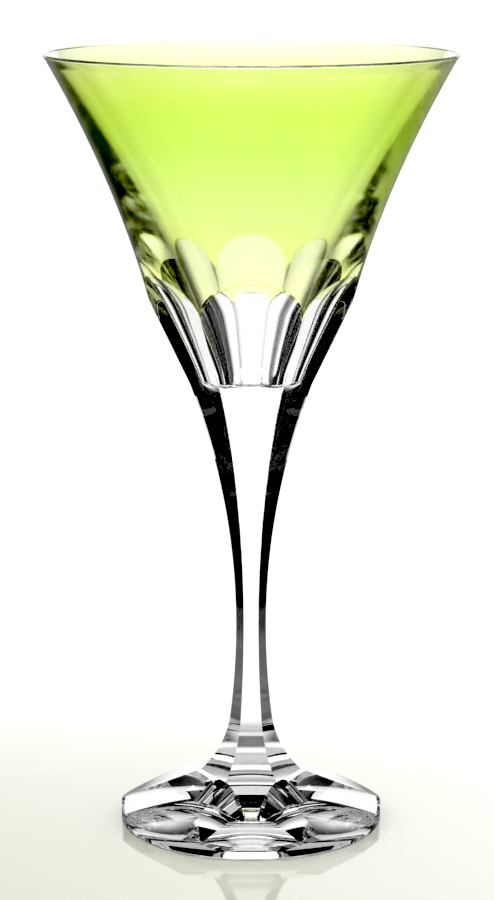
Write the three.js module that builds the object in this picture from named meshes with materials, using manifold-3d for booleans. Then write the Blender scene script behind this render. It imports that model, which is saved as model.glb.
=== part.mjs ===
// Water goblet: clear cut crystal with a green glass casing on the upper bowl.
// Millimetres, +Z up, the foot rests on Z = 0 and one cut panel faces -Y.
import * as THREE from 'three';
import { mergeVertices } from 'three/addons/utils/BufferGeometryUtils.js';
import Module from 'manifold-3d';

const wasm = await Module();
wasm.setup();

// Overall sizes
const overallHeight = 210;
const rimRadius = 55;
const footRadius = 35.7;
const sides = 6;
const roundSegments = 60;

// Bowl: the blown blank opens like a trumpet, its hollow curves at the bottom and runs straight to the rim
const blankRadius = 22.3;
const blankBend = 0.557;
const clearRimWall = 0.8;
const hollowPower = 1.22;
const wellRadius = 9;
const wellDepth = 2;
const floorThickness = 1;
const rimEase = 0.2;
const bowlSteps = 12;

// Green casing fused on the outside of the bowl
const casingThickness = 0.35;
const bondLine = 0.05;

// Cut panels round the base of the bowl, ended by the round of the cutting wheel
const ridgeHeight = 121.7;
const ridgeRadius = 16.4;
const panelRise = 22.3;
const panelWidening = 10.7;
const wheelRadius = 24;

// Stem: long hollow flats with a tighter hollow above the foot, corner radii throughout
const neckHeight = 55;
const neckRadius = 4.05;
const ankleHeight = 29.2;
const ankleRadius = 5.7;
const creaseHeight = 13.7;
const creaseRadius = 13.8;

// Foot: six flat facets that run out to a round rim, with a shallow hollow inside a standing ring underneath
const rimCornerHeight = 5.4;
const footEase = 0.4;
const standingRing = 2;
const undersideRise = 4;

// Profiles
const cornerToFlat = Math.cos(Math.PI / sides);
const wellTop = ridgeHeight + floorThickness + wellDepth;
const mouthRadius = rimRadius - casingThickness - bondLine - clearRimWall;

function outsideRadius(height) {
  const share = (height - ridgeHeight) / (overallHeight - ridgeHeight);
  return blankRadius + (rimRadius - blankRadius) * (share + blankBend * share * (share - 1));
}

function insideRadius(height) {
  const share = (height - wellTop) / (overallHeight - wellTop);
  return wellRadius + (mouthRadius - wellRadius) * share ** hollowPower;
}

function along(start, end, steps, point) {
  const list = [];
  for (let step = 0; step <= steps; step += 1) {
    list.push(point(start + (end - start) * step / steps));
  }
  return list;
}

function hollow(from, to, startLean, steps) {
  // Arc that leaves one point at a lean from the vertical and runs through the other.
  const rise = Math.abs(to.y - from.y);
  const downOrUp = Math.sign(to.y - from.y);
  const chordLean = Math.atan2(to.x - from.x, rise);
  const radius = Math.hypot(to.x - from.x, rise) / (2 * Math.sin(chordLean - startLean));
  const centreX = from.x + radius * Math.cos(startLean);
  const arc = along(startLean, 2 * chordLean - startLean, steps, (lean) => new THREE.Vector2(
    centreX - radius * Math.cos(lean),
    from.y + downOrUp * radius * (Math.sin(lean) - Math.sin(startLean)),
  ));
  arc[0].copy(from);
  arc[steps].copy(to);
  return arc;
}

function stemProfile() {
  const crease = new THREE.Vector2(creaseRadius, creaseHeight);
  const ankle = new THREE.Vector2(ankleRadius, ankleHeight);
  const neck = new THREE.Vector2(neckRadius, neckHeight);
  const ridge = new THREE.Vector2(ridgeRadius, ridgeHeight);
  const ankleLean = 2 * Math.atan2(ankleRadius - neckRadius, neckHeight - ankleHeight);
  const upper = hollow(neck, ridge, 0, 16);
  const lower = hollow(neck, ankle, 0, 5).concat(hollow(ankle, crease, ankleLean, 8).slice(1));
  return lower.reverse().concat(upper.slice(1));
}

// Solids
function solidOf(geometry) {
  geometry.deleteAttribute('normal');
  geometry.deleteAttribute('uv');
  const welded = mergeVertices(geometry, 1e-4);
  return new wasm.Manifold(new wasm.Mesh({
    numProp: 3,
    vertProperties: new Float32Array(welded.attributes.position.array),
    triVerts: new Uint32Array(welded.index.array),
  }));
}

function turned(profile, segments) {
  // A lathe ring has a corner half a side away from -Y, so that a flat faces -Y.
  const geometry = new THREE.LatheGeometry(profile, segments, Math.PI / sides, 2 * Math.PI);
  geometry.rotateX(Math.PI / 2);
  return solidOf(geometry);
}

function panelCutter(index) {
  // Side view of what the wheel removes: a straight slope, then the round of the wheel.
  const foot = ridgeRadius * cornerToFlat;
  const lean = Math.atan2(panelWidening * cornerToFlat, panelRise);
  const endFlat = foot + panelWidening * cornerToFlat;
  const endHeight = ridgeHeight + panelRise;
  const centreFlat = endFlat + wheelRadius * Math.cos(lean);
  const centreHeight = endHeight - wheelRadius * Math.sin(lean);
  const below = 5;
  const outline = [new THREE.Vector2(foot - below * Math.tan(lean), ridgeHeight - below)];
  outline.push(...along(lean, 1.35, 9, (angle) => new THREE.Vector2(
    centreFlat - wheelRadius * Math.cos(angle),
    centreHeight + wheelRadius * Math.sin(angle),
  )));
  outline.push(new THREE.Vector2(rimRadius, centreHeight + wheelRadius));
  outline.push(new THREE.Vector2(rimRadius, ridgeHeight - below));
  const width = 2 * rimRadius;
  const geometry = new THREE.ExtrudeGeometry(new THREE.Shape(outline), { depth: width, bevelEnabled: false });
  geometry.translate(0, 0, -width / 2);
  geometry.rotateX(Math.PI / 2);
  geometry.rotateZ(-Math.PI / 2 + 2 * Math.PI * index / sides);
  return solidOf(geometry);
}

function withPanels(blank) {
  let piece = blank;
  for (let index = 0; index < sides; index += 1) {
    piece = piece.subtract(panelCutter(index));
  }
  return piece;
}

function bowlSolid() {
  const skin = casingThickness + bondLine;
  const outside = along(ridgeHeight, overallHeight, bowlSteps + 2, (height) => (
    new THREE.Vector2(outsideRadius(height) - skin, height)
  ));
  const inside = along(overallHeight - rimEase, wellTop, bowlSteps + 2, (height) => (
    new THREE.Vector2(insideRadius(height), height)
  ));
  const well = along(0, Math.PI / 2, 5, (angle) => new THREE.Vector2(
    wellRadius * Math.cos(angle),
    wellTop - wellDepth * Math.sin(angle),
  ));
  well[well.length - 1].x = 0;
  const lip = new THREE.Vector2(mouthRadius + rimEase / 2, overallHeight);
  const profile = [new THREE.Vector2(0, ridgeHeight), ...outside, lip, ...inside, ...well.slice(1)];
  return withPanels(turned(profile, roundSegments));
}

function casingSolid() {
  const lowest = ridgeHeight + 0.6 * panelRise;
  const outside = along(lowest, overallHeight - rimEase, bowlSteps, (height) => (
    new THREE.Vector2(outsideRadius(height), height)
  ));
  const lip = new THREE.Vector2(rimRadius - rimEase, overallHeight);
  const inside = along(overallHeight, lowest, bowlSteps, (height) => (
    new THREE.Vector2(outsideRadius(height) - casingThickness, height)
  ));
  const profile = [...outside, lip, ...inside, outside[0].clone()];
  return withPanels(turned(profile, roundSegments));
}

function stemSolid() {
  const profile = [
    new THREE.Vector2(0, creaseHeight),
    ...stemProfile(),
    new THREE.Vector2(0, ridgeHeight),
  ];
  return turned(profile, sides);
}

function footSolid() {
  const edgeSlope = (creaseHeight - rimCornerHeight) / (footRadius - creaseRadius);
  const pyramid = turned([
    new THREE.Vector2(0, 0),
    new THREE.Vector2(creaseRadius + creaseHeight / edgeSlope, 0),
    new THREE.Vector2(creaseRadius, creaseHeight),
    new THREE.Vector2(0, creaseHeight),
  ], sides);
  const hollowEdge = footRadius - standingRing;
  const underside = along(0, hollowEdge, 10, (radius) => (
    new THREE.Vector2(radius, undersideRise * (1 - (radius / hollowEdge) ** 2))
  ));
  const disc = turned([
    ...underside,
    new THREE.Vector2(footRadius - footEase, 0),
    new THREE.Vector2(footRadius, footEase),
    new THREE.Vector2(footRadius, creaseHeight + footEase),
    new THREE.Vector2(0, creaseHeight + footEase),
  ], roundSegments);
  return pyramid.intersect(disc);
}

// Assembly
function meshOf(name, solid, colour, opacity) {
  const shape = solid.getMesh();
  const geometry = new THREE.BufferGeometry();
  geometry.setAttribute('position', new THREE.BufferAttribute(new Float32Array(shape.vertProperties), 3));
  geometry.setIndex(new THREE.BufferAttribute(new Uint32Array(shape.triVerts), 1));
  geometry.computeVertexNormals();
  const material = new THREE.MeshStandardMaterial({
    color: colour,
    roughness: 0.05,
    metalness: 0,
    transparent: true,
    opacity,
  });
  const mesh = new THREE.Mesh(geometry, material);
  mesh.name = name;
  return mesh;
}

const group = new THREE.Group();
group.name = 'water_goblet';
group.add(meshOf('foot', footSolid(), 0xf1f6f4, 0.45));
group.add(meshOf('stem', stemSolid(), 0xf1f6f4, 0.45));
group.add(meshOf('bowl', bowlSolid(), 0xf1f6f4, 0.45));
group.add(meshOf('colour_casing', casingSolid(), 0xa6d838, 0.6));

export default group;
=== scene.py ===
import math
import bmesh
import bpy
import numpy as np
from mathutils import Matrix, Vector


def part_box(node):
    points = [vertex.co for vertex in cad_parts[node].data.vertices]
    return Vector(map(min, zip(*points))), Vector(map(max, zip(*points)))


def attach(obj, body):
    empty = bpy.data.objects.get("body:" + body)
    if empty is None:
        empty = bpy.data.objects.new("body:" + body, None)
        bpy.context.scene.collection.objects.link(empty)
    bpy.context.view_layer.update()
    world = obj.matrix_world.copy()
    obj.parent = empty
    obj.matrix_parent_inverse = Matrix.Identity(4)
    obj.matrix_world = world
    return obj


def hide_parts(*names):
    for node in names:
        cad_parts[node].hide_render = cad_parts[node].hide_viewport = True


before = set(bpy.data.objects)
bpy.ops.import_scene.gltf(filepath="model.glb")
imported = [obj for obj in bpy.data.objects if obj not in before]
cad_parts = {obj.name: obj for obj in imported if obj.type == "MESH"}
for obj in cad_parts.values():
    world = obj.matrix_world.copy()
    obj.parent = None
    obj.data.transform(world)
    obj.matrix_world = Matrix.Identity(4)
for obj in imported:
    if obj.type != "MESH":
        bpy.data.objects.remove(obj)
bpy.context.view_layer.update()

# Foot
# A gob of clear crystal pressed out to a disc and cut on top into six flat facets that run out to a round
# rim. It is polished all over, hollowed a little underneath inside the ring it stands on, and fused to the
# stem along the hexagonal crease.

MM = 0.001
SIDES = 6
COLUMNS_PER_SIDE = 24
FLAT_SHARE = math.cos(math.pi / SIDES)
foot_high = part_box("foot")[1]
FOOT_RADIUS = foot_high[0]
CREASE_HEIGHT = foot_high[2]
CREASE_RADIUS = 13.8 * MM
RIM_CORNER_HEIGHT = 5.4 * MM
FOOT_EASE = 0.4 * MM
STANDING_RING = 2 * MM
UNDERSIDE_RISE = 4 * MM
FACET_ROWS = 14
RIM_ROWS = 5
UNDERSIDE_ROWS = 24
RING_ROWS = 5
EASE_ROWS = 6
JOINT_ROWS = 4
FOOT_WAVE_SCALE = 40.0
FOOT_WAVE_HEIGHT = 0.005 * MM


def panel_angles():
    """Angle round the axis of each grid column, and its angle from the middle of its own side.

    Each side takes the same number of columns, the first side faces -Y, and the corners between the sides
    fall on a column."""
    side = np.arange(SIDES * COLUMNS_PER_SIDE) // COLUMNS_PER_SIDE
    share = (np.arange(SIDES * COLUMNS_PER_SIDE) % COLUMNS_PER_SIDE) / COLUMNS_PER_SIDE
    from_middle = (share - 0.5) * 2 * math.pi / SIDES
    return side * 2 * math.pi / SIDES + from_middle - math.pi / 2, from_middle


def ring_grid(radius, height, angle):
    """Points at a radius and height for each row and column: x and y turn the radius round the axis."""
    radius, height = np.broadcast_arrays(radius, height)
    return np.stack([radius * np.cos(angle), radius * np.sin(angle), height * np.ones_like(angle)], axis=-1)


def rows_between(start, end, rows):
    """Rows of a grid that go from one value, or line of values, to another in equal steps."""
    share = np.linspace(0, 1, rows)[:, None]
    return (1 - share) * start + share * end


GLASS = 0
FUSED = 1
MERGE_DISTANCE = 0.0005 * MM
SHARP_BEND = math.radians(12)


def closed_piece(name, patches, materials):
    """One closed mesh from bands of points that run right round the axis.

    Each band is a grid whose columns close on themselves, with the number of its material. Neighbouring
    bands share their edge rows, which are merged, as are the points that meet on the axis. Edges bent by
    more than the sharp bend stay crisp."""
    points, quads, slots = [], [], []
    start = 0
    for grid, slot in patches:
        rows, columns = grid.shape[:2]
        row, column = np.meshgrid(np.arange(rows - 1), np.arange(columns), indexing="ij")
        here = start + row * columns
        after = here + columns
        right = (column + 1) % columns
        quad = np.stack([here + column, here + right, after + right, after + column], axis=-1)
        points.append(grid.reshape(-1, 3))
        quads.append(quad.reshape(-1, 4))
        slots.append(np.full((rows - 1) * columns, slot))
        start += rows * columns
    mesh = bpy.data.meshes.new(name)
    mesh.from_pydata(np.concatenate(points), [], np.concatenate(quads))
    for material in materials:
        mesh.materials.append(material)
    mesh.polygons.foreach_set("material_index", np.concatenate(slots).astype(np.int32))
    work = bmesh.new()
    work.from_mesh(mesh)
    bmesh.ops.remove_doubles(work, verts=work.verts, dist=MERGE_DISTANCE)
    bmesh.ops.dissolve_degenerate(work, edges=work.edges, dist=MERGE_DISTANCE)
    bmesh.ops.recalc_face_normals(work, faces=work.faces)
    for face in work.faces:
        face.smooth = True
    for edge in work.edges:
        edge.smooth = len(edge.link_faces) == 2 and edge.calc_face_angle(0) < SHARP_BEND
    work.to_mesh(mesh)
    work.free()
    piece = bpy.data.objects.new(name, mesh)
    bpy.context.scene.collection.objects.link(piece)
    piece.visible_shadow = False
    return piece


class Wire:
    """A socket of a material's nodes, on which sums are written as Python expressions."""

    def __init__(self, maker, socket):
        self.maker = maker
        self.socket = socket

    def _math(self, operation, first, second):
        return self.maker.node("ShaderNodeMath", {"operation": operation}, {0: first, 1: second})

    def __add__(self, other):
        return self._math("ADD", self, other)

    def __radd__(self, other):
        return self._math("ADD", other, self)

    def __sub__(self, other):
        return self._math("SUBTRACT", self, other)

    def __rsub__(self, other):
        return self._math("SUBTRACT", other, self)

    def __mul__(self, other):
        return self._math("MULTIPLY", self, other)

    def __rmul__(self, other):
        return self._math("MULTIPLY", other, self)

    def __truediv__(self, other):
        return self._math("DIVIDE", self, other)

    def __rtruediv__(self, other):
        return self._math("DIVIDE", other, self)

    def __abs__(self):
        return self._math("ABSOLUTE", self, 0.0)

    def at_least(self, other):
        return self._math("MAXIMUM", self, other)


class Finish:
    """A material, or the world, and the one method that adds a node to it."""

    def __init__(self, name, owner=None):
        self.owner = owner or bpy.data.materials.new(name)
        self.owner.use_nodes = True
        self.tree = self.owner.node_tree
        self.tree.nodes.clear()

    def node(self, kind, settings=None, inputs=None, output=0):
        """Add a node of a kind: its settings are set first, then its inputs take their values or wires."""
        node = self.tree.nodes.new(kind)
        for key, value in (settings or {}).items():
            if key == "stops":
                ramp = node.color_ramp
                while len(ramp.elements) < len(value):
                    ramp.elements.new(0.5)
                for element, (place, colour) in zip(ramp.elements, value):
                    element.position = place
                    element.color = colour
            else:
                setattr(node, key, value)
        for key, value in (inputs or {}).items():
            if isinstance(value, Wire):
                self.tree.links.new(value.socket, node.inputs[key])
            else:
                node.inputs[key].default_value = value
        return Wire(self, node.outputs[output]) if node.outputs else None


CRYSTAL_IOR = 1.545
CRYSTAL_TINTS = [(0.3, (0.975, 0.982, 0.973, 1)), (0.7, (0.985, 0.99, 0.985, 1))]
WAVE_DETAIL = 2.0
HAZE_SCALE = 60.0
HAZE_DETAIL = 3.0
HAZE_ROUGHNESS = 0.004
WHITE = (1, 1, 1, 1)


def polished_crystal(name, wave_scale, wave_height, softness=0.0):
    """Clear crystal with a slow waviness left by polishing, faint haze in patches and the palest grey-green.

    Waves and haze are noise over the piece. The softness adds an even roughness to that of the haze."""
    finish = Finish(name)
    place = finish.node("ShaderNodeTexCoord", output="Object")
    slow = finish.node("ShaderNodeTexNoise", {}, {
        "Vector": place, "Scale": wave_scale, "Detail": WAVE_DETAIL,
    })
    haze = finish.node("ShaderNodeTexNoise", {}, {
        "Vector": place, "Scale": HAZE_SCALE, "Detail": HAZE_DETAIL,
    })
    colour = finish.node("ShaderNodeValToRGB", {"stops": CRYSTAL_TINTS}, {"Fac": haze})
    wave = finish.node("ShaderNodeBump", {}, {"Height": slow, "Distance": wave_height, "Strength": 1.0})
    shader = finish.node("ShaderNodeBsdfPrincipled", {}, {
        "Base Color": colour,
        "Roughness": softness + haze * HAZE_ROUGHNESS,
        "IOR": CRYSTAL_IOR,
        "Transmission Weight": 1.0,
        "Normal": wave,
    })
    finish.node("ShaderNodeOutputMaterial", {}, {"Surface": shader})
    return finish.owner


def fused_joint():
    """Where two pieces of glass are fused there is no surface left to see, so light goes straight on."""
    finish = Finish("fused_joint")
    shader = finish.node("ShaderNodeBsdfTransparent", {}, {"Color": WHITE})
    finish.node("ShaderNodeOutputMaterial", {}, {"Surface": shader})
    return finish.owner


crystal_facets = polished_crystal("crystal_facets", FOOT_WAVE_SCALE, FOOT_WAVE_HEIGHT)
joint_face = fused_joint()

angle, from_middle = panel_angles()
crease_flat = CREASE_RADIUS * FLAT_SHARE
corner_flat = FOOT_RADIUS * FLAT_SHARE
facet_slope = (CREASE_HEIGHT - RIM_CORNER_HEIGHT) / (corner_flat - crease_flat)
crease_line = crease_flat / np.cos(from_middle)
facet_radius = rows_between(FOOT_RADIUS, crease_line, FACET_ROWS)
facet_height = CREASE_HEIGHT - facet_slope * (facet_radius * np.cos(from_middle) - crease_flat)
rim_height = rows_between(FOOT_EASE, facet_height[0], RIM_ROWS)
ring_inside = FOOT_RADIUS - STANDING_RING
under_radius = rows_between(0, ring_inside, UNDERSIDE_ROWS)
under_height = UNDERSIDE_RISE * (1 - (under_radius / ring_inside) ** 2)
ring_radius = rows_between(ring_inside, FOOT_RADIUS - FOOT_EASE, RING_ROWS)
ease_turn = np.linspace(0, math.pi / 2, EASE_ROWS)[:, None]
ease_radius = FOOT_RADIUS - FOOT_EASE * (1 - np.sin(ease_turn))
ease_height = FOOT_EASE * (1 - np.cos(ease_turn))
foot = closed_piece("foot_facets", [
    (ring_grid(under_radius, under_height, angle), GLASS),
    (ring_grid(ring_radius, 0, angle), GLASS),
    (ring_grid(ease_radius, ease_height, angle), GLASS),
    (ring_grid(FOOT_RADIUS, rim_height, angle), GLASS),
    (ring_grid(facet_radius, facet_height, angle), GLASS),
    (ring_grid(rows_between(crease_line, 0, JOINT_ROWS), CREASE_HEIGHT, angle), FUSED),
], [crystal_facets, joint_face])
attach(foot, "root")
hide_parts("foot")

# Stem
# Clear crystal drawn out from the bowl and cut lengthwise into six long hollow flats, narrow at the neck and
# flared at both ends. It is fused to the bowl at the upper ridge and to the foot at the lower crease.

stem_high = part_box("stem")[1]
RIDGE_HEIGHT = stem_high[2]
RIDGE_RADIUS = stem_high[0]
NECK_HEIGHT = 55 * MM
NECK_RADIUS = 4.05 * MM
ANKLE_HEIGHT = 29.2 * MM
ANKLE_RADIUS = 5.7 * MM
FLARE_ROWS = 40
ANKLE_ROWS = 24
SHAFT_ROWS = 90
STEM_WAVE_SCALE = 60.0
STEM_WAVE_HEIGHT = 0.01 * MM


def hollow(start, end, start_lean, rows):
    """Radius and height along an arc that leaves one point at a lean from upright and ends in another."""
    across, rise = end[0] - start[0], abs(end[1] - start[1])
    chord_lean = math.atan2(across, rise)
    radius = math.hypot(across, rise) / (2 * math.sin(chord_lean - start_lean))
    lean = np.linspace(start_lean, 2 * chord_lean - start_lean, rows)
    side = math.copysign(1, end[1] - start[1])
    return np.stack([
        start[0] + radius * (math.cos(start_lean) - np.cos(lean)),
        start[1] + side * radius * (np.sin(lean) - math.sin(start_lean)),
    ], axis=1)


neck = (NECK_RADIUS, NECK_HEIGHT)
ankle = (ANKLE_RADIUS, ANKLE_HEIGHT)
ankle_lean = 2 * math.atan2(ANKLE_RADIUS - NECK_RADIUS, NECK_HEIGHT - ANKLE_HEIGHT)
stem_line = np.concatenate([
    hollow(ankle, (CREASE_RADIUS, CREASE_HEIGHT), ankle_lean, FLARE_ROWS)[::-1],
    hollow(neck, ankle, 0, ANKLE_ROWS)[::-1][1:],
    hollow(neck, (RIDGE_RADIUS, RIDGE_HEIGHT), 0, SHAFT_ROWS)[1:],
])
stem_flat = stem_line[:, :1] * FLAT_SHARE
stem_radius = stem_flat / np.cos(from_middle)
stem_height = stem_line[:, 1:]
crystal_stem = polished_crystal("crystal_stem", STEM_WAVE_SCALE, STEM_WAVE_HEIGHT)
stem = closed_piece("cut_stem", [
    (ring_grid(rows_between(0, stem_radius[0], JOINT_ROWS), stem_height[0], angle), FUSED),
    (ring_grid(stem_radius, stem_height, angle), GLASS),
    (ring_grid(rows_between(stem_radius[-1], 0, JOINT_ROWS), stem_height[-1], angle), FUSED),
], [crystal_stem, joint_face])
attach(stem, "root")
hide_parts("stem")

# Bowl
# Blown clear crystal, thin at the rim and thick below, with six flat panels cut round its base by a wide
# wheel whose round leaves the arched top of each panel. Its hollow narrows to a small rounded well, and its
# wall shows what lies behind it a little softly.

OVERALL_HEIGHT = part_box("bowl")[1][2]
RIM_RADIUS = 55 * MM
BLANK_RADIUS = 22.3 * MM
BLANK_BEND = 0.557
CASING_THICKNESS = 0.35 * MM
BOND_LINE = 0.05 * MM
CLEAR_RIM_WALL = 0.8 * MM
HOLLOW_POWER = 1.22
WELL_RADIUS = 9 * MM
WELL_DEPTH = 2 * MM
FLOOR_THICKNESS = 1 * MM
RIM_ROUND = 0.5 * MM
PANEL_RISE = 22.3 * MM
PANEL_WIDENING = 10.7 * MM
WHEEL_RADIUS = 24 * MM
WELL_TOP = RIDGE_HEIGHT + FLOOR_THICKNESS + WELL_DEPTH
SKIN = CASING_THICKNESS + BOND_LINE
MOUTH_RADIUS = RIM_RADIUS - SKIN - CLEAR_RIM_WALL
HIGHEST_ARCH = RIDGE_HEIGHT + 1.6 * PANEL_RISE
HALVINGS = 50
BASE_ROWS = 5
PANEL_ROWS = 40
COVERED_ROWS = 50
LIP_ROWS = 9
HOLLOW_ROWS = 70
WELL_ROWS = 16
BOWL_WAVE_SCALE = 30.0
BOWL_WAVE_HEIGHT = 0.02 * MM
WALL_SOFTNESS = 0.05


def blank_radius(height):
    """Outside of the cased blank before the panels are cut: a trumpet that curves out as it rises.

    The radius grows from the ridge to the rim by a straight share of the height, less a bend that is widest
    halfway up."""
    share = (height - RIDGE_HEIGHT) / (OVERALL_HEIGHT - RIDGE_HEIGHT)
    return BLANK_RADIUS + (RIM_RADIUS - BLANK_RADIUS) * (share + BLANK_BEND * share * (share - 1))


def hollow_radius(height):
    """Inside of the bowl above the well: curved near the bottom, then nearly a straight cone to the rim."""
    share = np.clip((height - WELL_TOP) / (OVERALL_HEIGHT - WELL_TOP), 0, None)
    return WELL_RADIUS + (MOUTH_RADIUS - WELL_RADIUS) * share ** HOLLOW_POWER


def panel_flat(height):
    """Distance of a cut panel from the axis: a straight slope, then the round of the wheel that ended it."""
    flat = RIDGE_RADIUS * FLAT_SHARE
    widening = PANEL_WIDENING * FLAT_SHARE
    lean = math.atan2(widening, PANEL_RISE)
    slope = flat + widening * (height - RIDGE_HEIGHT) / PANEL_RISE
    up = height - RIDGE_HEIGHT - PANEL_RISE + WHEEL_RADIUS * math.sin(lean)
    inside_wheel = np.clip(WHEEL_RADIUS ** 2 - up ** 2, 0, None)
    wheel = flat + widening + WHEEL_RADIUS * math.cos(lean) - np.sqrt(inside_wheel)
    return np.where(height < RIDGE_HEIGHT + PANEL_RISE, slope, wheel)


def arch_height(skin):
    """Height at which the panel leaves a surface that lies a skin below the blank.

    It is found for each column by halving an interval."""
    low = np.full(angle.shape, RIDGE_HEIGHT)
    high = np.full(angle.shape, HIGHEST_ARCH)
    for _ in range(HALVINGS):
        middle = (low + high) / 2
        cut = panel_flat(middle) < (blank_radius(middle) - skin) * np.cos(from_middle)
        low, high = np.where(cut, middle, low), np.where(cut, high, middle)
    return (low + high) / 2


def lip(start_share, end_share):
    """Rounded rim, as radius and height: a share runs from -1 inside the wall to 1 outside it.

    The radius follows the share, and the height drops from the top as a half ellipse."""
    share = np.linspace(start_share, end_share, LIP_ROWS)[:, None]
    radius = (RIM_RADIUS + MOUTH_RADIUS) / 2 + (RIM_RADIUS - MOUTH_RADIUS) / 2 * share
    return radius, OVERALL_HEIGHT - RIM_ROUND * (1 - np.sqrt(1 - share ** 2))


rim_wall = RIM_RADIUS - MOUTH_RADIUS
shoulder = OVERALL_HEIGHT - RIM_ROUND
panel_top = arch_height(SKIN)
panel_height = rows_between(RIDGE_HEIGHT, panel_top, PANEL_ROWS)
panel_radius = panel_flat(panel_height) / np.cos(from_middle)
clear_lip_radius, clear_lip_height = lip(1 - 2 * SKIN / rim_wall, -1)
covered_height = rows_between(panel_top, clear_lip_height[0], COVERED_ROWS)
covered_radius = blank_radius(covered_height) - SKIN
covered_radius[-1] = clear_lip_radius[0]
hollow_height = rows_between(shoulder, WELL_TOP, HOLLOW_ROWS)
inside_radius = hollow_radius(hollow_height)
inside_radius[0] = clear_lip_radius[-1]
well_turn = np.linspace(0, math.pi / 2, WELL_ROWS)[:, None]
well_height = WELL_TOP - WELL_DEPTH * np.sin(well_turn)
crystal_bowl = polished_crystal("crystal_bowl", BOWL_WAVE_SCALE, BOWL_WAVE_HEIGHT, WALL_SOFTNESS)
bowl = closed_piece("panelled_bowl", [
    (ring_grid(rows_between(0, panel_radius[0], BASE_ROWS), RIDGE_HEIGHT, angle), FUSED),
    (ring_grid(panel_radius, panel_height, angle), GLASS),
    (ring_grid(covered_radius, covered_height, angle), FUSED),
    (ring_grid(clear_lip_radius, clear_lip_height, angle), GLASS),
    (ring_grid(inside_radius, hollow_height, angle), GLASS),
    (ring_grid(WELL_RADIUS * np.cos(well_turn), well_height, angle), GLASS),
], [crystal_bowl, joint_face])
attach(bowl, "root")
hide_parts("bowl")

# Colour casing
# A thin layer of yellow-green glass gathered over the clear bowl before it was blown, a little paler towards
# the rim where it was drawn out thinner. The cut panels take it away below, which leaves its scalloped edge.

EDGE_ROWS = 8
CASING_ROWS = 60
BACK_ROWS = 50
STAIN_BOTTOM = 146 * MM
CASING_STAIN = [
    (0, (0.93, 0.97, 0.29, 1)),
    (0.22, (0.83, 0.97, 0.35, 1)),
    (0.42, (0.73, 0.97, 0.25, 1)),
    (0.65, (0.65, 0.96, 0.13, 1)),
    (0.8, (0.72, 0.96, 0.16, 1)),
    (0.9, (0.79, 0.96, 0.24, 1)),
    (1, (0.95, 0.97, 0.56, 1)),
]
CORD_SCALE = 22.0
CORD_DETAIL = 2.0
CORD_SHIFT = 8 * MM
CORD_ROUGHNESS = 0.004
CASING_WAVE_SCALE = 35.0
CASING_WAVE_DETAIL = 1.0
CASING_WAVE_HEIGHT = 0.03 * MM


def casing_glass():
    """Transparent yellow-green glass, deepest in the upper half of the bowl, with cords from the gathering.

    The stain follows the height up the bowl, which slow noise shifts up and down to give the cords."""
    finish = Finish("green_casing")
    place = finish.node("ShaderNodeTexCoord", output="Object")
    height = finish.node("ShaderNodeSeparateXYZ", {}, {"Vector": place}, output=2)
    cords = finish.node("ShaderNodeTexNoise", {}, {
        "Vector": place, "Scale": CORD_SCALE, "Detail": CORD_DETAIL,
    })
    shade = finish.node("ShaderNodeMapRange", {}, {
        "Value": height + (cords - 0.5) * CORD_SHIFT,
        "From Min": STAIN_BOTTOM,
        "From Max": OVERALL_HEIGHT,
        "To Min": 0.0,
        "To Max": 1.0,
    })
    colour = finish.node("ShaderNodeValToRGB", {"stops": CASING_STAIN}, {"Fac": shade})
    slow = finish.node("ShaderNodeTexNoise", {}, {
        "Vector": place, "Scale": CASING_WAVE_SCALE, "Detail": CASING_WAVE_DETAIL,
    })
    wave = finish.node("ShaderNodeBump", {}, {
        "Height": slow, "Distance": CASING_WAVE_HEIGHT, "Strength": 1.0,
    })
    shader = finish.node("ShaderNodeBsdfPrincipled", {}, {
        "Base Color": colour,
        "Roughness": WALL_SOFTNESS + cords * CORD_ROUGHNESS,
        "IOR": CRYSTAL_IOR,
        "Transmission Weight": 1.0,
        "Normal": wave,
    })
    finish.node("ShaderNodeOutputMaterial", {}, {"Surface": shader})
    return finish.owner


casing_top = arch_height(0)
casing_inner_top = arch_height(CASING_THICKNESS)
edge_height = rows_between(casing_inner_top, casing_top, EDGE_ROWS)
edge_radius = panel_flat(edge_height) / np.cos(from_middle)
casing_lip_radius, casing_lip_height = lip(1, 1 - 2 * CASING_THICKNESS / rim_wall)
casing_height = rows_between(casing_top, shoulder, CASING_ROWS)
casing_radius = blank_radius(casing_height)
casing_radius[-1] = casing_lip_radius[0]
back_height = rows_between(casing_lip_height[-1], casing_inner_top, BACK_ROWS)
back_radius = blank_radius(back_height) - CASING_THICKNESS
back_radius[0] = casing_lip_radius[-1]
green_casing = casing_glass()
casing = closed_piece("green_casing", [
    (ring_grid(edge_radius, edge_height, angle), GLASS),
    (ring_grid(casing_radius, casing_height, angle), GLASS),
    (ring_grid(casing_lip_radius, casing_lip_height, angle), GLASS),
    (ring_grid(back_radius, back_height, angle), FUSED),
], [green_casing, joint_face])
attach(casing, "root")
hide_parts("colour_casing")

# Camera
# A long lens a little above the rim and tipped down, at the viewing angle of the photograph. Its place
# follows from how open the ellipses of rim and foot look there.

CAMERA_DISTANCE = 0.748
CAMERA_HEIGHT = 0.2557
CAMERA_PITCH = math.radians(11.5)
CAMERA_ASIDE = -0.0011
FOCAL_LENGTH = 113.2
SENSOR_WIDTH = 36
lens = bpy.data.cameras.new("camera")
lens.lens = FOCAL_LENGTH
lens.sensor_width = SENSOR_WIDTH
camera = bpy.data.objects.new("camera", lens)
camera.location = (CAMERA_ASIDE, -CAMERA_DISTANCE, CAMERA_HEIGHT)
camera.rotation_euler = (math.pi / 2 - CAMERA_PITCH, 0, 0)
bpy.context.scene.collection.objects.link(camera)
bpy.context.scene.camera = camera

# Table
# A pale glossy acrylic top in front of an even white. The camera sees it so, with painted shade that makes
# it darker towards the front and the left. The glass sees it glow instead in painted patches of light and
# shade, which give it the light and dark shapes of cut crystal. It turns to face the camera with the lights,
# as if the goblet were turned.

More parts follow.
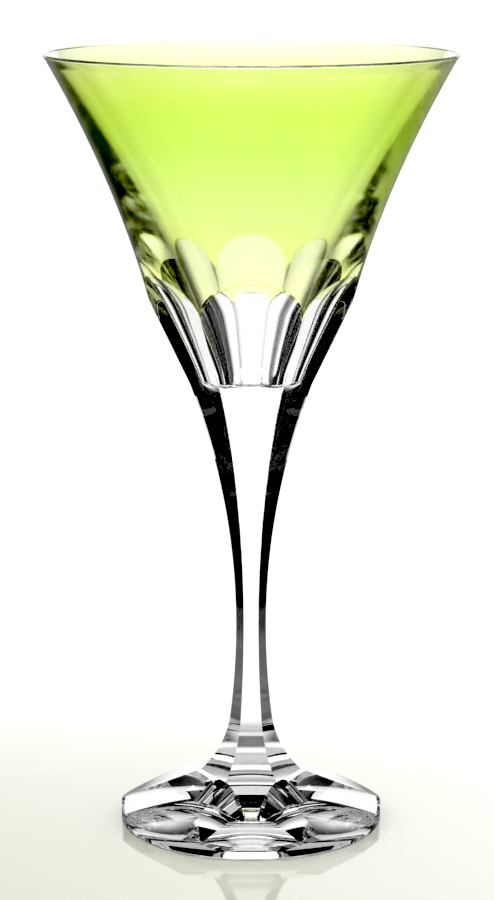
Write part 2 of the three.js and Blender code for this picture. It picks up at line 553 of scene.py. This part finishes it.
TABLE_REACH = 6.0
TABLE_DROP = 0.2 * MM
ACRYLIC_PAINTED_SHADE_STOPS = [(0.1, (0.53, 0.54, 0.43, 1)), (1.0, (0.9, 0.9, 0.86, 1))]
PAINTED_SHADE_BASE = 0.46
PAINTED_LIGHTER_BEHIND = 2.1
PAINTED_LIGHTER_RIGHT = 2.6
GRAIN_SCALE = 9.0
GRAIN_DETAIL = 4.0
GRAIN_SHADE = 0.06
ACRYLIC_ROUGHNESS = 0.05
ACRYLIC_IOR = 1.9
MATT_WHITE = (0.9, 0.9, 0.9, 1)
MATT_FADE = (20 * MM, 160 * MM)
PAINTED_LIGHT_STRENGTH = 1.2
FAN_TIP = 4 * MM
FAN_NARROWEST = 1 * MM
FAN_LEFT = (-0.85, -0.3)
FAN_RIGHT = (0.35, 0.95)
FAN_START = (-10 * MM, 10 * MM)
FAN_FADE = (36 * MM, 60 * MM)
FAN_NEAR_LIGHT = 0.55
FRONT_SKEW = 0.5
FRONT_START = (30 * MM, 70 * MM)
FRONT_INSIDE = (90 * MM, 120 * MM)
FRONT_OUTSIDE = (300 * MM, 420 * MM)
DIM_FADE = (120 * MM, 220 * MM)
DIM_NEAR_LIGHT = 0.15
DIM_FAR_LIGHT = 0.02
BESIDE_EDGE = (4 * MM, 22 * MM)
BESIDE_LEAST = 0.1
BESIDE_FADE = (24 * MM, 34 * MM)
BESIDE_RIM_LIGHT = 0.6
REAR_START = (6 * MM, 13 * MM)
REAR_LIGHT = 0.9
REAR_FADE = (20 * MM, 28 * MM)
REAR_RIM_SHARE = 0.5
AXIS_FADE = (8 * MM, 13 * MM)
AXIS_LIGHT = 0.2
UNDER_FOOT = (35.2 * MM, 36.2 * MM)
MIRROR_FADE = (80 * MM, 120 * MM)
MIRROR_LOSS = 0.8

turntable = bpy.data.objects.new("turntable", None)
bpy.context.scene.collection.objects.link(turntable)
facing = turntable.constraints.new("LOCKED_TRACK")
facing.target = camera
facing.track_axis = "TRACK_NEGATIVE_Y"
facing.lock_axis = "LOCK_Z"


def stage_sheet(name, corners, material, seen_by_camera):
    """A flat four-cornered sheet beside the object, which turns to face the camera."""
    mesh = bpy.data.meshes.new(name)
    mesh.from_pydata(corners, [], [(0, 1, 2, 3)])
    mesh.materials.append(material)
    sheet = bpy.data.objects.new(name, mesh)
    bpy.context.scene.collection.objects.link(sheet)
    sheet.parent = turntable
    sheet.visible_camera = seen_by_camera
    sheet.visible_diffuse = seen_by_camera
    sheet.visible_shadow = seen_by_camera


def table_top():
    """Acrylic near the goblet that fades to matt white behind it for the camera, with painted shade that
    makes it darker towards the front and the left, and patches of painted light and shade for the glass.

    For rays that come through or off the glass the table glows in these patches instead of showing the
    acrylic.
    Each patch is a product of soft steps over the place on the table: a fan behind the goblet, a ring in
    front of it and a dim light round about. Under the foot are patches beside, behind and on the axis, with
    painted shade between them. The brightest patch at a place counts, and mirrored images lose most of it
    away from the foot."""
    finish = Finish("pale_table")
    place = finish.node("ShaderNodeTexCoord", output="Object")
    across = finish.node("ShaderNodeSeparateXYZ", {}, {"Vector": place}, output=0)
    behind = finish.node("ShaderNodeSeparateXYZ", {}, {"Vector": place}, output=1)
    away = finish.node("ShaderNodeVectorMath", {"operation": "LENGTH"}, {0: place}, output=1)
    grain = finish.node("ShaderNodeTexNoise", {}, {
        "Vector": place, "Scale": GRAIN_SCALE, "Detail": GRAIN_DETAIL,
    })

    def step(value, edge, low, high):
        return finish.node("ShaderNodeMapRange", {"interpolation_type": "SMOOTHSTEP"}, {
            "Value": value, "From Min": edge[0], "From Max": edge[1], "To Min": low, "To Max": high,
        })

    # Painted shade: the acrylic's colour is darker towards the front and the left and paler behind and to
    # the right; the grain is the acrylic's own faint unevenness.
    grain_and_painted_shade = PAINTED_SHADE_BASE + behind * PAINTED_LIGHTER_BEHIND + across * PAINTED_LIGHTER_RIGHT + (grain - 0.5) * GRAIN_SHADE
    colour = finish.node("ShaderNodeValToRGB", {"stops": ACRYLIC_PAINTED_SHADE_STOPS}, {"Fac": grain_and_painted_shade})
    acrylic = finish.node("ShaderNodeBsdfPrincipled", {}, {
        "Base Color": colour, "Roughness": ACRYLIC_ROUGHNESS, "IOR": ACRYLIC_IOR,
    })
    matt = finish.node("ShaderNodeBsdfDiffuse", {}, {"Color": MATT_WHITE})
    fade = step(behind, MATT_FADE, 0.0, 1.0)
    seen = finish.node("ShaderNodeMixShader", {}, {0: fade, 1: acrylic, 2: matt})

    # Painted light and shade that only the glass sees: a glowing fan behind the goblet, a glowing ring in
    # front and a dim glow round about, dark between them.
    lean = across / (behind + FAN_TIP).at_least(FAN_NARROWEST)
    fan = step(lean, FAN_LEFT, 0.0, 1.0) * step(lean, FAN_RIGHT, 1.0, 0.0)
    back = fan * step(behind, FAN_START, 0.0, 1.0) * step(away, FAN_FADE, FAN_NEAR_LIGHT, 1.0)
    front = step(across * FRONT_SKEW - behind, FRONT_START, 0.0, 1.0) * step(away, FRONT_OUTSIDE, 1.0, 0.0)
    ring = front * step(away, FRONT_INSIDE, 0.0, 1.0)
    around = back.at_least(ring).at_least(step(away, DIM_FADE, DIM_NEAR_LIGHT, DIM_FAR_LIGHT))
    # Painted light and shade under the foot: bright patches beside and behind it and a dim centre on the
    # axis.
    level = step(abs(behind), BESIDE_EDGE, 1.0, BESIDE_LEAST)
    aside = step(abs(across), BESIDE_EDGE, 0.0, 1.0)
    beside = aside * level * step(away, BESIDE_FADE, 1.0, BESIDE_RIM_LIGHT)
    rear = step(behind, REAR_START, 0.0, REAR_LIGHT) * step(away, REAR_FADE, 1.0, REAR_RIM_SHARE)
    below = beside.at_least(rear).at_least(step(away, AXIS_FADE, AXIS_LIGHT, 0.0))
    patches = below + (around - below) * step(away, UNDER_FOOT, 0.0, 1.0)
    mirrored = finish.node("ShaderNodeLightPath", output="Is Reflection Ray")
    painted_light_shown = patches * (1.0 - mirrored * step(away, MIRROR_FADE, 0.0, MIRROR_LOSS))
    # The table glows with this painted light for rays that come through or off the glass.
    painted_glow = finish.node("ShaderNodeEmission", {}, {"Color": painted_light_shown, "Strength": PAINTED_LIGHT_STRENGTH})
    plain = finish.node("ShaderNodeLightPath", output="Is Camera Ray")
    soft = finish.node("ShaderNodeLightPath", output="Is Diffuse Ray")
    shader = finish.node("ShaderNodeMixShader", {}, {0: plain + soft, 1: painted_glow, 2: seen})
    finish.node("ShaderNodeOutputMaterial", {}, {"Surface": shader})
    return finish.owner


stage_sheet("table", [
    (x * TABLE_REACH, y * TABLE_REACH, -TABLE_DROP) for x, y in ((-1, -1), (1, -1), (1, 1), (-1, 1))
], table_top(), True)

# Lights
# What a glass photographer puts round the picture in a dark room: three white cards behind, one above the
# other, a soft light overhead, one light at the left and three at the right. Only the glass and the table's
# mirror show them, and the camera sees an even white instead.

CARD_DISTANCE = 2.0
CARD_FOLD = 0.6
SOFT_LIGHT_HEIGHT = 0.75
DARK_ROOM = 0.01
WHITE_SURROUND = 1.2
BLACK_POINT = 0.05
WHITE_POINT = 0.95
GLASS_BOUNCES = 200
JOINT_BOUNCES = 400


def upright(start, end, low, high):
    """Corners of an upright sheet over the line between two places, from its low to its high edge."""
    return [(*start, low), (*end, low), (*end, high), (*start, high)]


def card(half_width, low, high):
    """Corners of an upright sheet behind the goblet, as wide to the left as to the right."""
    return upright((-half_width, CARD_DISTANCE), (half_width, CARD_DISTANCE), low, high)


def glow(name, through, mirrored):
    """Plain light, as bright as the values say where glass refracts it and where a surface mirrors it."""
    finish = Finish(name)
    reflected = finish.node("ShaderNodeLightPath", output="Is Reflection Ray")
    strength = through + reflected * (mirrored - through)
    shader = finish.node("ShaderNodeEmission", {}, {"Color": strength, "Strength": 1.0})
    finish.node("ShaderNodeOutputMaterial", {}, {"Surface": shader})
    return finish.owner


low_card = [
    (x, CARD_DISTANCE, z) for x, z in ((-1.45, 0), (1.3, 0), (1.0, CARD_FOLD), (-1.0, CARD_FOLD))
]
overhead = [
    (x, y, SOFT_LIGHT_HEIGHT) for x, y in ((-0.1, -0.6), (0.2, -0.6), (0.2, 0.22), (-0.1, 0.22))
]
# Each light has its corners, its brightness through glass and its brightness in a mirror.
LIGHTS = {
    "white_card": (low_card, 1.25, 1.3),
    "tall_card": (card(0.7, CARD_FOLD, 1.08), 1.1, 1.3),
    "high_card": (card(0.42, 1.5, 2.3), 0.8, 0.3),
    "soft_light": (overhead, 1.2, 0.3),
    "left_light": (upright((-0.79, 0.62), (-0.95, 0.31), 0.3, 0.55), 0.7, 0.4),
    "right_light": (upright((0.79, 0.62), (0.95, 0.31), 0.3, 0.55), 1.0, 0.6),
    "side_light": (upright((0.66, -0.35), (0.75, -0.07), 0.18, 0.5), 0.8, 0.6),
    "front_light": (upright((0.375, -0.65), (0.75, -0.07), 0, 0.42), 0.6, 0.3),
}
for light_name, (light_corners, through_glass, in_mirror) in LIGHTS.items():
    stage_sheet(light_name, light_corners, glow(light_name, through_glass, in_mirror), False)

scene = bpy.context.scene
scene.world = bpy.data.worlds.new("surround")
surround = Finish("surround", scene.world)
plain = surround.node("ShaderNodeLightPath", output="Is Camera Ray")
soft = surround.node("ShaderNodeLightPath", output="Is Diffuse Ray")
dark = surround.node("ShaderNodeBackground", {}, {"Color": WHITE, "Strength": DARK_ROOM})
bright = surround.node("ShaderNodeBackground", {}, {"Color": WHITE, "Strength": WHITE_SURROUND})
sky = surround.node("ShaderNodeMixShader", {}, {0: plain + soft, 1: dark, 2: bright})
surround.node("ShaderNodeOutputWorld", {}, {"Surface": sky})

scene.view_settings.view_transform = "Standard"
scene.view_settings.look = "None"
scene.view_settings.use_curve_mapping = True
levels = scene.view_settings.curve_mapping
levels.black_level = (BLACK_POINT, BLACK_POINT, BLACK_POINT)
levels.white_level = (WHITE_POINT, WHITE_POINT, WHITE_POINT)
levels.update()
scene.cycles.max_bounces = GLASS_BOUNCES
scene.cycles.transmission_bounces = GLASS_BOUNCES
scene.cycles.glossy_bounces = GLASS_BOUNCES
scene.cycles.transparent_max_bounces = JOINT_BOUNCES
